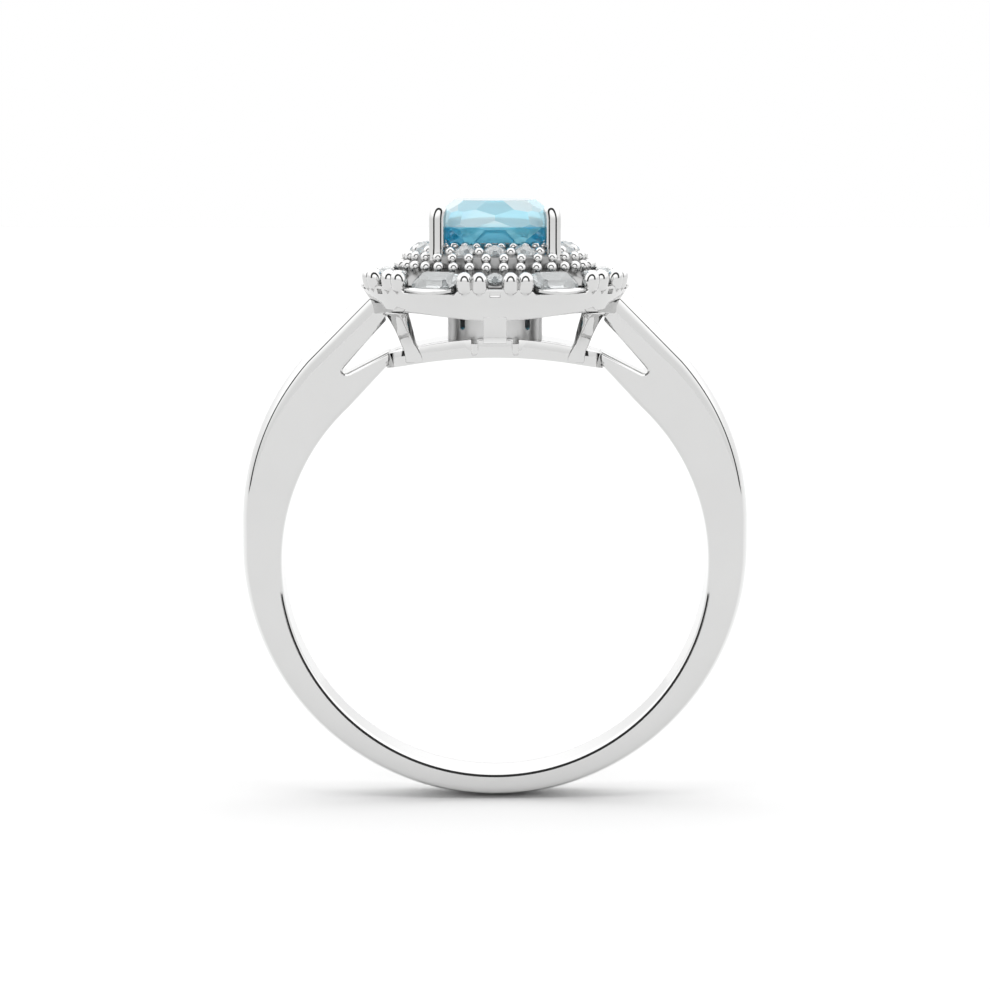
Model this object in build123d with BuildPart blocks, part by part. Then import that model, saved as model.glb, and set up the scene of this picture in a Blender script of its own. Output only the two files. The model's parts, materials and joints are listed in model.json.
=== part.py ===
"""Cocktail ring: a split-shoulder band, an arched base, a six-fold gallery and a stepped halo
around one cushion-cut stone.  Millimetres.  Origin at the centre of the finger hole, +Y along
the finger, +Z towards the centre stone, +X across the shoulders."""
from build123d import *
from math import acos, asin, atan2, cos, degrees, pi, radians, sin, sqrt, tan
import os

os.makedirs("parts", exist_ok=True)

touch = 0.02          # gap kept between a stone and the metal around it

# Band
finger_r = 8.675      # finger hole
band_w = 2.6          # along the finger
bottom_t = 1.03       # thickness under the finger
side_t = 1.63         # thickness at the sides
side_rise = 1.0       # straight stretch above the widest point
shoulder_r = 10.2     # arc that turns the sides in towards the head
shoulder_meet = 0.85  # where the shoulder's crown meets the gallery wall, above its foot
dome_drop = 0.24      # how far the band's outer face falls at its edges
round_end = 1.536     # the hole stays round until this far outside the base
arm_t = 1.5           # upper arm, square to its own run
notch_r = 0.14        # rounded crotch between the arms
notch_slope = 27.5    # degrees, top of the lower arm
lower_arm_step = 0.02 # the lower arm meets the base this far below the rail's top

# Base under the head
base_x = 4.38         # half-length across the shoulders
base_over = 0.22      # the base reaches this far past the foot of the collet, along the finger
base_corner = 1.2
base_t = 0.8
rail_dip = 0.195      # underside of the rail at the centre, inside the finger circle
rail_h = 0.72
arch_r = 15.7         # arch of the rail
foot_w = 1.43         # foot of the front and back pillars
foot_in = 0.33        # how far a pillar's foot is let into the rail
slot_w = 0.33         # slots beside those feet
slot_floor = 0.12

# Gallery wall
opening_h = 1.0       # from the rail's top to the wall, at the centre
wall_h = 1.2
wall_flare = 0.46     # how much wider the wall is at its top
wall_t = 0.62
pillar_w = 0.91
strut_over = 0.25     # how far the front and back struts reach inside the wall
side_pillar_w = 0.8
side_pillar_angle = 57.0
side_foot_x = 3.44    # feet of the four side pillars
side_foot_w = 0.74

# Halo
petals = 6
outer_tier_t = 0.62
outer_fall = 28.0     # degrees that the outer tier slopes
outer_tier_w = 1.86   # from the inner tier's rim to the outside of the wall
inner_tier_w = 1.57    # from the collet to the inner tier's rim
inner_tier_t = 0.42   # at its rim
inner_fall = 18.0
collet_in = 0.45      # collet's rim inside the centre stone's side
collet_taper = 0.27
collet_h = 1.6        # rim above the gallery wall's top
collet_lip = 0.3

# Centre stone: cushion outline |x|^p + |y|^p = half^p
stone_half = 2.5
stone_power = 2.8
girdle_over = 0.65    # girdle above the collet's rim
girdle_h = 0.06
crown_h = 0.92
pavilion_h = 2.1

crown_angle = 38.0
crown_break = 0.86    # share of the outline where the crown's angle changes
break_angle = 48.0
pavilion_angle = 41.0
pavilion_break = 0.5
keel_angle = 38.0

# Prongs
prong_gap = 0.06      # between a prong and the stone's corner
prong_r = 0.3
prong_rise = 0.4      # straight wire above the girdle
prong_lean = 0.35     # how far the tip leans in over the stone
prong_lift = 0.2      # and how much higher it ends

# Small stones, claws and beads
petal_w = 2.16
petal_d = 1.2
petal_power = 3.0
petal_crown = 0.22
petal_pavilion = 0.5
small_girdle = 0.02
small_crown = 0.12
small_crown_angle = 34.0
small_pavilion_angle = 41.0
seat_open = 0.8       # a seat is open this far above its stone's girdle
petal_out = 1.0       # petal stones, gap stones and tier stones from the step inside them
petal_sink = 0.06     # girdle above the tier's surface
gap_stone_d = 0.62
gap_stone_out = 0.8
tier_stone_d = 0.74
tier_stone_out = 0.93
tier_stones = 16      # places round the tier, four of them taken by the prongs
claw_r = 0.25
claw_h = 0.4
claw_in = 0.3         # claws from the outside of the wall
petal_claw_out = 0.391  # claws past the ends of the petal stones
gap_claw_out = 0.375
bead_r = 0.17
inner_bead_r = 0.13
step_beads = 36       # row at the foot of the inner tier
step_bead_lift = 0.08
slot_angle = 43.0     # airline slots of the collet, from the front and the back
collet_slot_w = 0.34
collet_slot_low = 0.35

collet_r = stone_half - collet_in
collet_low_r = collet_r - collet_taper
base_y = collet_low_r + base_over
inner_tier_r = collet_r + inner_tier_w
wall_top_r = inner_tier_r + outer_tier_w
wall_low_r = wall_top_r - wall_flare
petal_at_r = inner_tier_r + petal_out
gap_stone_r = inner_tier_r + gap_stone_out
tier_stone_r = collet_r + tier_stone_out
claw_at_r = wall_top_r - claw_in
petal_claw_angle = degrees(asin((petal_w / 2 + petal_claw_out) / claw_at_r))
gap_claw_angle = degrees(asin((gap_stone_d / 2 + gap_claw_out) / claw_at_r))

rail_z = finger_r - rail_dip
wall_z = rail_z + rail_h + opening_h
wall_top = wall_z + wall_h
collet_z = wall_top + collet_h
girdle_z = collet_z + girdle_over


def arch_z(x, top=0.0):
    """Height of the rail's underside, or of a line `top` above it."""
    return rail_z + top - arch_r + sqrt(arch_r**2 - x**2)


def spot(angle, radius, z, tilt=0.0):
    """Plane at `angle` round the head from the front, leaning outwards by `tilt`."""
    a = radians(angle)
    out = Vector(sin(a), -cos(a), 0)
    along = Vector(cos(a), sin(a), 0)
    up = Vector(0, 0, 1) * cos(radians(tilt)) + out * sin(radians(tilt))
    return Plane(origin=out * radius + Vector(0, 0, z), x_dir=along, z_dir=up)


def save(piece, name):
    piece.part.label = name
    export_step(piece.part, f"parts/{name}.step")


# ---------------------------------------------------------------- solids that shape others
with BuildPart() as head_space:
    with BuildSketch(Plane.XZ):
        Polygon((0, wall_z), (wall_low_r, wall_z), (wall_top_r, wall_z + wall_h),
                (wall_top_r, wall_z + finger_r), (0, wall_z + finger_r), align=None)
    revolve(axis=Axis.Z)

with BuildPart() as base_plan:
    with BuildSketch(Plane.XY.offset(finger_r / 2)):
        RectangleRounded(2 * base_x, 2 * base_y, base_corner)
    extrude(amount=finger_r)

with BuildPart() as arch_slab:
    with BuildSketch(Plane.XZ):
        reach = base_x + 1
        with BuildLine():
            low = ThreePointArc((-reach, arch_z(reach)), (0, arch_z(0)), (reach, arch_z(reach)))
            high = ThreePointArc((-reach, arch_z(reach, rail_h)), (0, arch_z(0, rail_h)),
                                 (reach, arch_z(reach, rail_h)))
            Line(low @ 0, high @ 0)
            Line(low @ 1, high @ 1)
        make_face()
    extrude(amount=2 * base_y, both=True)

# ---------------------------------------------------------------- shank
side_r = finger_r + side_t
low_z = side_t - bottom_t
turn_x = side_r - shoulder_r
turn_z = low_z + side_rise
meet = Vector(wall_low_r + (wall_top_r - wall_low_r) * shoulder_meet / wall_h - turn_x,
              wall_z + shoulder_meet - turn_z)
turn = atan2(meet.Y, meet.X) - acos(shoulder_r / meet.length)
hole_end = (base_x + round_end, sqrt(finger_r**2 - (base_x + round_end) ** 2))
hole_tip = (collet_r, hole_end[1] + (hole_end[0] - collet_r) * hole_end[0] / hole_end[1])


def shoulder_point(drop, run):
    """Point `run` along the straight shoulder, on the outline lowered by `drop`."""
    r = shoulder_r - drop
    return (turn_x + r * cos(turn) - run * sin(turn), turn_z + r * sin(turn) + run * cos(turn))


arm_run = (shoulder_point(0, 0)[0] - collet_r) / sin(turn)

with BuildPart() as shank:
    for lift, drop in ((-band_w / 2, dome_drop), (0, 0), (band_w / 2, dome_drop)):
        with BuildSketch(Plane.XZ.offset(lift)):
            with BuildLine():
                lower = CenterArc((0, low_z), side_r - drop, -90, 90)
                side = Line(lower @ 1, (side_r - drop, turn_z))
                CenterArc((turn_x, turn_z), shoulder_r - drop, 0, degrees(turn))
                top = Line(shoulder_point(drop, 0), shoulder_point(drop, arm_run))
                over = Line(top @ 1, (0, (top @ 1).Y))
                Line(over @ 1, lower @ 0)
            make_face()
    loft()
    mirror(about=Plane.YZ)
    with BuildSketch(Plane.XZ):
        with BuildLine():
            ThreePointArc(hole_end, (0, -finger_r), (-hole_end[0], hole_end[1]))
            Polyline((-hole_end[0], hole_end[1]), (-hole_tip[0], hole_tip[1]), hole_tip, hole_end)
        make_face()
    extrude(amount=band_w, both=True, mode=Mode.SUBTRACT)
    with BuildSketch(Plane.XZ):
        with BuildLine():
            upper = shoulder_point(arm_t, 0)
            rise = cos(turn) / sin(turn)
            crown_side = (collet_r, upper[1] + (upper[0] - collet_r) * rise)
            fall = sin(radians(notch_slope)) / cos(radians(notch_slope))
            low_side = (collet_r, arch_z(base_x, rail_h) - lower_arm_step + (base_x - collet_r) * fall)
            apex_x = (crown_side[1] - low_side[1]) / (rise - fall) + collet_r
            apex = (apex_x, crown_side[1] - (apex_x - collet_r) * rise)
            FilletPolyline(crown_side, apex, low_side, radius=notch_r)
            Line(low_side, crown_side)
        make_face()
        mirror(about=Plane.YZ)
    extrude(amount=band_w, both=True, mode=Mode.SUBTRACT)
    add(head_space.part, mode=Mode.SUBTRACT)
    add(base_plan.part, mode=Mode.SUBTRACT)
    with BuildSketch(Plane.XZ):
        Polygon((-base_x, finger_r / 2), (base_x, finger_r / 2), (base_x, wall_z),
                (-base_x, wall_z), align=None)
    extrude(amount=band_w, both=True, mode=Mode.SUBTRACT)
save(shank, "shank")

# ---------------------------------------------------------------- base rail
foot_step = foot_w / 2 + slot_w
with BuildPart() as base_rail:
    with BuildSketch(Plane.XY.offset(finger_r / 2)):
        RectangleRounded(2 * base_x, 2 * base_y, base_corner)
        offset(amount=-base_t, mode=Mode.SUBTRACT)
    extrude(amount=finger_r)
    add(arch_slab.part, mode=Mode.INTERSECT)
    with BuildSketch(Plane.XY.offset(finger_r / 2)):
        with Locations((0, base_y), (0, -base_y)):
            Rectangle(foot_w, 2 * foot_in)
        with Locations(*[(sx * side_foot_x, sy * base_y) for sx in (-1, 1) for sy in (-1, 1)]):
            Rectangle(side_foot_w, 2 * foot_in)
    extrude(amount=finger_r, mode=Mode.SUBTRACT)
    with BuildSketch(Plane.XY.offset(rail_z + slot_floor)):
        with Locations(*[(sx * (foot_w + slot_w) / 2, sy * base_y) for sx in (-1, 1) for sy in (-1, 1)]):
            Rectangle(slot_w, 3 * foot_in)
    extrude(amount=rail_h, mode=Mode.SUBTRACT)
save(base_rail, "base_rail")

# ---------------------------------------------------------------- pillars
with BuildPart() as under_arch:
    with BuildSketch(Plane.XZ):
        with BuildLine():
            low = ThreePointArc((-base_x, arch_z(base_x)), (0, arch_z(0)), (base_x, arch_z(base_x)))
            Polyline(low @ 1, (base_x, 0), (-base_x, 0), low @ 0)
        make_face()
    extrude(amount=2 * base_y, both=True)

foot_back = base_y - foot_in
strut_low = rail_z + rail_h / 2
strut_high = rail_z + rail_h
strut_in = wall_low_r - wall_t - strut_over
side_foot_z = arch_z(side_foot_x, rail_h)

with BuildPart() as front_pillar:
    with BuildSketch(Plane.YZ):
        Polygon((-foot_back, strut_low), (-base_y, strut_low), (-wall_low_r, wall_z),
                (-strut_in, wall_z), (-foot_back, strut_high), align=None)
    extrude(amount=pillar_w / 2, both=True)
    with BuildSketch(Plane.YZ):
        with Locations((-foot_back, rail_z - rail_h)):
            Rectangle(foot_in, strut_high - rail_z + rail_h, align=(Align.MAX, Align.MIN))
    extrude(amount=foot_w / 2, both=True)
    add(under_arch.part, mode=Mode.SUBTRACT)

with BuildPart() as side_pillar:
    with BuildSketch(Plane.XY.offset(rail_z - 2 * rail_h)):
        with Locations((side_foot_x, -foot_back)):
            Rectangle(side_foot_w, foot_in, align=(Align.CENTER, Align.MAX))
    extrude(amount=side_foot_z - rail_z + 2 * rail_h)
    with BuildSketch(Plane.XY.offset(side_foot_z)):
        with Locations((side_foot_x, -foot_back)):
            Rectangle(side_foot_w, foot_in, align=(Align.CENTER, Align.MAX))
    with BuildSketch(spot(side_pillar_angle, wall_low_r, wall_z)):
        Rectangle(side_pillar_w, wall_t, align=(Align.CENTER, Align.MAX))
    loft()
    add(under_arch.part, mode=Mode.SUBTRACT)

for name, shape in (
    ("pillar_front", front_pillar.part),
    ("pillar_back", front_pillar.part.mirror(Plane.XZ)),
    ("pillar_front_right", side_pillar.part),
    ("pillar_back_right", side_pillar.part.mirror(Plane.XZ)),
    ("pillar_front_left", side_pillar.part.mirror(Plane.YZ)),
    ("pillar_back_left", side_pillar.part.mirror(Plane.XZ).mirror(Plane.YZ)),
):
    with BuildPart() as pillar:
        add(shape)
    save(pillar, name)

# ---------------------------------------------------------------- stones
def support(angle, half_x, half_y, power):
    """Distance from the centre to the outline's tangent whose normal is at `angle`."""
    q = power / (power - 1)
    c, s = abs(cos(angle) * half_x), abs(sin(angle) * half_y)
    return (c**q + s**q) ** (1 / q)


def gem(half_x, half_y, power, sides, top, depth, rings):
    """Stone with its girdle on XY.  Each ring of facets is (up or down, facet angle, share of the
    outline's reach and height that its planes pass through, first side, step)."""
    angles = [2 * pi * k / sides for k in range(sides)]
    reach = [support(a, half_x, half_y, power) for a in angles]
    corners = []
    for k in range(sides):
        a, b = angles[k - 1], angles[k]
        corners.append(((reach[k - 1] * sin(b) - reach[k] * sin(a)) / sin(b - a),
                        (reach[k] * cos(a) - reach[k - 1] * cos(b)) / sin(b - a)))
    with BuildPart() as stone:
        with BuildSketch(Plane.XY.offset(-depth)):
            Polygon(*corners, align=None)
        extrude(amount=top + depth)
        for up, tilt, share, height, first, step in rings:
            for k in range(first, sides, step):
                out = Vector(cos(angles[k]), sin(angles[k]), 0)
                facet = Plane(origin=out * (reach[k] * share) + Vector(0, 0, up * height),
                              z_dir=out * sin(radians(tilt)) + Vector(0, 0, up * cos(radians(tilt))))
                split(bisect_by=facet, keep=Keep.BOTTOM)
    return stone.part


half_girdle = girdle_h / 2
break_h = half_girdle + (1 - crown_break) * stone_half * tan(radians(break_angle))
keel_h = half_girdle + (1 - pavilion_break) * stone_half * tan(radians(pavilion_angle))
centre_gem = gem(stone_half, stone_half, stone_power, 16, crown_h, pavilion_h, (
    (1, break_angle, 1, half_girdle, 0, 1), (1, crown_angle, crown_break, break_h, 0, 2),
    (1, crown_angle - 4, crown_break, break_h, 1, 2), (-1, pavilion_angle, 1, half_girdle, 0, 1),
    (-1, keel_angle, pavilion_break, keel_h, 0, 2)))
small_rings = ((1, small_crown_angle, 1, small_girdle, 0, 1),
               (-1, small_pavilion_angle, 1, small_girdle, 0, 1))
petal_gem = gem(petal_w / 2, petal_d / 2, petal_power, 12, petal_crown, petal_pavilion, small_rings)
gap_gem = gem(gap_stone_d / 2, gap_stone_d / 2, 2, 8, small_crown, gap_stone_d / 2, small_rings)
tier_gem = gem(tier_stone_d / 2, tier_stone_d / 2, 2, 8, small_crown, tier_stone_d / 2, small_rings)


def seat(half_x, half_y, power, sides, depth):
    """Room for a stone, open above its girdle and `touch` wider all round."""
    return gem(half_x + touch, half_y + touch, power, sides, seat_open, depth + touch,
               ((-1, small_pavilion_angle, 1, small_girdle + touch, 0, 1),))


petal_seat = seat(petal_w / 2, petal_d / 2, petal_power, 12, petal_pavilion)
gap_seat = seat(gap_stone_d / 2, gap_stone_d / 2, 2, 8, gap_stone_d / 2)
tier_seat = seat(tier_stone_d / 2, tier_stone_d / 2, 2, 8, tier_stone_d / 2)

# ---------------------------------------------------------------- halo surfaces and places
wall_in_top = wall_top_r - wall_t


def wall_in(z):
    """Inner radius of the gallery wall at height z."""
    return wall_low_r - wall_t + (z - wall_z) / wall_h * (wall_top_r - wall_low_r)


def outer_top(r):
    return wall_top + (wall_in_top - r) * tan(radians(outer_fall))


def inner_top(r):
    return outer_top(inner_tier_r) + inner_tier_t + (inner_tier_r - r) * tan(radians(inner_fall))


petal_turn = 360 / petals
petal_spots = [spot(petal_turn * (k + 0.5), petal_at_r, outer_top(petal_at_r) + petal_sink, outer_fall)
               for k in range(petals)]
gap_spots = [spot(petal_turn * k, gap_stone_r, outer_top(gap_stone_r) + petal_sink, outer_fall)
             for k in range(petals)]
tier_turn = 360 / tier_stones
tier_angles = [tier_turn * k for k in range(tier_stones) if k % 4 != 2]
tier_spots = [spot(a, tier_stone_r, inner_top(tier_stone_r), inner_fall) for a in tier_angles]

with BuildPart() as petal_seats:
    with Locations(*petal_spots):
        add(petal_seat)

with BuildPart() as gap_seats:
    with Locations(*gap_spots):
        add(gap_seat)

with BuildPart() as tier_seats:
    with Locations(*tier_spots):
        add(tier_seat)

stone_corner = support(pi / 4, stone_half, stone_half, stone_power)
prong_at = (stone_corner + prong_gap + prong_r) / sqrt(2)
prong_spots = [(sx * prong_at, sy * prong_at) for sx in (-1, 1) for sy in (-1, 1)]
with BuildPart() as prong_holes:
    with BuildSketch(Plane.XY.offset(outer_top(inner_tier_r))):
        with Locations(*prong_spots):
            Circle(prong_r)
    extrude(amount=inner_tier_t * 3)

# ---------------------------------------------------------------- gallery wall, tiers and collet
with BuildPart() as gallery_wall:
    with BuildSketch(Plane.XZ):
        Polygon((wall_low_r - wall_t, wall_z), (wall_low_r, wall_z), (wall_top_r, wall_top),
                (wall_in_top, wall_top), align=None)
    revolve(axis=Axis.Z)
    add(petal_seats.part, mode=Mode.SUBTRACT)
save(gallery_wall, "gallery_wall")

tier_step = outer_top(inner_tier_r)
with BuildPart() as outer_tier:
    with BuildSketch(Plane.XZ):
        Polygon((collet_r, tier_step), (inner_tier_r, tier_step), (wall_in_top, wall_top),
                (wall_in(wall_top - outer_tier_t), wall_top - outer_tier_t),
                (inner_tier_r, tier_step - outer_tier_t), (collet_r, tier_step - outer_tier_t),
                align=None)
    revolve(axis=Axis.Z)
    add(petal_seats.part, mode=Mode.SUBTRACT)
    add(gap_seats.part, mode=Mode.SUBTRACT)
save(outer_tier, "outer_tier")

with BuildPart() as inner_tier:
    with BuildSketch(Plane.XZ):
        Polygon((collet_r, tier_step), (inner_tier_r, tier_step),
                (inner_tier_r, inner_top(inner_tier_r)), (collet_r, inner_top(collet_r)), align=None)
    revolve(axis=Axis.Z)
    add(tier_seats.part, mode=Mode.SUBTRACT)
    add(prong_holes.part, mode=Mode.SUBTRACT)
save(inner_tier, "inner_tier")

with BuildPart() as centre_collet:
    with BuildSketch(Plane.XZ):
        Polygon((collet_low_r - collet_lip, strut_low), (collet_low_r, strut_low), (collet_low_r, wall_z),
                (collet_r, tier_step - outer_tier_t), (collet_r, collet_z),
                (collet_r - collet_lip, collet_z), (collet_low_r - collet_lip, wall_z), align=None)
    revolve(axis=Axis.Z)
    add(arch_slab.part, mode=Mode.SUBTRACT)
    with BuildSketch(Plane.XZ):
        Polygon((0, girdle_z - stone_corner * tan(radians(pavilion_angle)) - touch),
                (stone_corner, girdle_z - touch), (0, girdle_z - touch), align=None)
    revolve(axis=Axis.Z, mode=Mode.SUBTRACT)
    for angle in (slot_angle, 180 - slot_angle, 180 + slot_angle, 360 - slot_angle):
        side = spot(angle, collet_low_r, strut_high + collet_slot_low)
        with BuildSketch(Plane(side.origin, x_dir=side.x_dir, z_dir=side.y_dir)):
            SlotOverall(2 * wall_h, collet_slot_w, rotation=90, align=(Align.CENTER, Align.MIN))
        extrude(amount=collet_lip * 2, both=True, mode=Mode.SUBTRACT)
save(centre_collet, "centre_collet")

# ---------------------------------------------------------------- stones in their places
with BuildPart() as centre_stone:
    with Locations((0, 0, girdle_z)):
        add(centre_gem)
save(centre_stone, "centre_stone")

for label, shape, places in (("petal_stone", petal_gem, petal_spots), ("gap_stone", gap_gem, gap_spots),
                             ("tier_stone", tier_gem, tier_spots)):
    for number, place in enumerate(places, 1):
        with BuildPart() as stone:
            with Locations(place):
                add(shape)
        save(stone, f"{label}_{number:02d}")

# ---------------------------------------------------------------- prongs, claws and beads
for (x, y), name in zip(prong_spots, ("front_left", "back_left", "front_right", "back_right")):
    lean = Vector(-x, -y, 0).normalized() * prong_lean
    foot = Vector(x, y, tier_step)
    bend = Vector(x, y, girdle_z + prong_rise)
    tip = bend + lean + Vector(0, 0, prong_lift)
    with BuildPart() as prong:
        with BuildLine() as wire:
            Polyline(foot, bend, tip)
        with BuildSketch(Plane(foot, z_dir=(0, 0, 1))):
            Circle(prong_r)
        sweep(path=wire.line, transition=Transition.ROUND)
        with Locations(tip):
            Sphere(prong_r)
    save(prong, f"prong_{name}")

for name, offset_angle, start in (("petal_claws", petal_claw_angle, 0.5), ("gap_claws", gap_claw_angle, 0)):
    with BuildPart() as claws:
        for k in range(petals):
            for side in (-1, 1):
                angle = petal_turn * (k + start) + side * offset_angle
                with Locations(spot(angle, claw_at_r, wall_top)):
                    Cylinder(claw_r, claw_h, align=(Align.CENTER, Align.CENTER, Align.MIN))
                with Locations(spot(angle, claw_at_r, wall_top + claw_h)):
                    Sphere(claw_r)
        add(petal_seats.part, mode=Mode.SUBTRACT)
    save(claws, name)

with BuildPart() as inner_beads:
    at_r = collet_r + 2 * inner_bead_r
    with Locations(*[spot(tier_turn * (k + 0.5), at_r, inner_top(at_r)) for k in range(tier_stones)]):
        Sphere(inner_bead_r)
    add(inner_tier.part, mode=Mode.SUBTRACT)
save(inner_beads, "inner_beads")

with BuildPart() as outer_beads:
    at_r = inner_tier_r - bead_r
    with Locations(*[spot(tier_turn * (k + 0.5), at_r, inner_top(at_r)) for k in range(tier_stones)]):
        Sphere(bead_r)
    add(inner_tier.part, mode=Mode.SUBTRACT)
save(outer_beads, "outer_beads")

with BuildPart() as foot_beads:
    at_r = inner_tier_r + bead_r + touch
    with Locations(*[spot(360 / step_beads * (k + 0.5), at_r, outer_top(at_r) + step_bead_lift)
                     for k in range(step_beads)]):
        Sphere(bead_r)
    add(outer_tier.part, mode=Mode.SUBTRACT)
save(foot_beads, "foot_beads")
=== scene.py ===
import json
from math import atan2, cos, degrees, pi, radians, sin, sqrt, tan

import bmesh
import bpy
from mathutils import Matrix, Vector

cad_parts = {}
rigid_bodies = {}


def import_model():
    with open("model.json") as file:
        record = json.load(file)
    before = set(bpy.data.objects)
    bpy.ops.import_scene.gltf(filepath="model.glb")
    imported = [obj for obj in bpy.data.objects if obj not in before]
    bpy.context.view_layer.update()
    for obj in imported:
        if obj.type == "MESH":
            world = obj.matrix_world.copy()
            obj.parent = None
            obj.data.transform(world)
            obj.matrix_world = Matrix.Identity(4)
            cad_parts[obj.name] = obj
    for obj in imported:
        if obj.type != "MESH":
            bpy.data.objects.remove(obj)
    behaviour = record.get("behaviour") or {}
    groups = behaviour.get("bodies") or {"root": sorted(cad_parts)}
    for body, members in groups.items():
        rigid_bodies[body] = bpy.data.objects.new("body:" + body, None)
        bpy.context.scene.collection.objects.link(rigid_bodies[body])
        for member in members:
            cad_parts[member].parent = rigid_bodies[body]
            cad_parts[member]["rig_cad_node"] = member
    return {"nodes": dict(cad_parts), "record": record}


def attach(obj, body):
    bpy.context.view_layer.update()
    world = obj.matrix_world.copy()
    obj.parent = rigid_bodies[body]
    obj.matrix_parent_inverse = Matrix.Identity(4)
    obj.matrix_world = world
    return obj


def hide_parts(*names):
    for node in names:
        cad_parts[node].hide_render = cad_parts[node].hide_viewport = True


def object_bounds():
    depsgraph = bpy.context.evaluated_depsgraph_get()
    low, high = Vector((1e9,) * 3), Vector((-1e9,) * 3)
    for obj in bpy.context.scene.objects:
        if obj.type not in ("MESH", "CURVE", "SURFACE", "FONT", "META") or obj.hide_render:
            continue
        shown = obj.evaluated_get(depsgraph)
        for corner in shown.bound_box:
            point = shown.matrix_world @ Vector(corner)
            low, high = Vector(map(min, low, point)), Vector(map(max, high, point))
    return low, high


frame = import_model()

cadLow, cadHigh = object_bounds()
mm = 0.001
joinGap = 0.0005      # vertices closer than this, in millimetres, are one
petals = 6
petalTurn = 60        # degrees from one petal to the next


# helpers

def deselectAll():
    if bpy.context.object and bpy.context.object.mode != "OBJECT":
        bpy.ops.object.mode_set(mode="OBJECT")
    bpy.ops.object.select_all(action="DESELECT")


def makeActive(piece):
    deselectAll()
    piece.select_set(True)
    bpy.context.view_layer.objects.active = piece


def applyModifiers(piece):
    makeActive(piece)
    for name in [m.name for m in piece.modifiers]:
        bpy.ops.object.modifier_apply(modifier=name)


def copyOf(shape, name=None):
    copy = shape.copy()
    copy.data = shape.data.copy()
    if name:
        copy.name = copy.data.name = name
    bpy.context.scene.collection.objects.link(copy)
    return copy


def placeRound(piece, angle, radius, z, tilt):
    # angle: degrees round the head from the front; tilt: degrees that it leans outwards
    a = radians(angle)
    piece.location = (sin(a) * radius, -cos(a) * radius, z)
    piece.rotation_euler = (radians(tilt), 0, a)


def joinCopies(pieces, target):
    deselectAll()
    for piece in pieces:
        piece.select_set(True)
    bpy.context.view_layer.objects.active = target
    bpy.ops.object.join()
    return bpy.context.object


def applyPlace(piece):
    makeActive(piece)
    bpy.ops.object.transform_apply(location=True, rotation=True, scale=True)


# camera and light

studio = {
    "cameraDistance": 143.9 * mm,
    "cameraHeight": 19.1 * mm,
    "lookAtHeight": 2.65 * mm,
    "lens": 128.9,
    "floorSize": 1.2,
    "skyStrength": 1.62,
    "horizonShade": 0.64,  # the sky starts this bright at the horizon and is full at fullSky
    "fullSky": 20,         # degrees up
    "flagInner": 40,       # degrees off the camera's own direction where the dark surround starts
    "flagOuter": 58,
    "flagDark": 0.03,
    "stoneGlow": 1.5,
    "floorShade": 0.8,
}


def setCamera():
    data = bpy.data.cameras.new("ringCamera")
    data.lens = studio["lens"]
    data.sensor_width = 36
    data.clip_start = 1 * mm
    data.clip_end = 10
    camera = bpy.data.objects.new("ringCamera", data)
    bpy.context.scene.collection.objects.link(camera)
    camera.location = (0, -studio["cameraDistance"], studio["cameraHeight"])
    aim = Vector((0, 0, studio["lookAtHeight"])) - camera.location
    camera.rotation_euler = aim.to_track_quat("-Z", "Y").to_euler()
    bpy.context.scene.camera = camera


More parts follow.
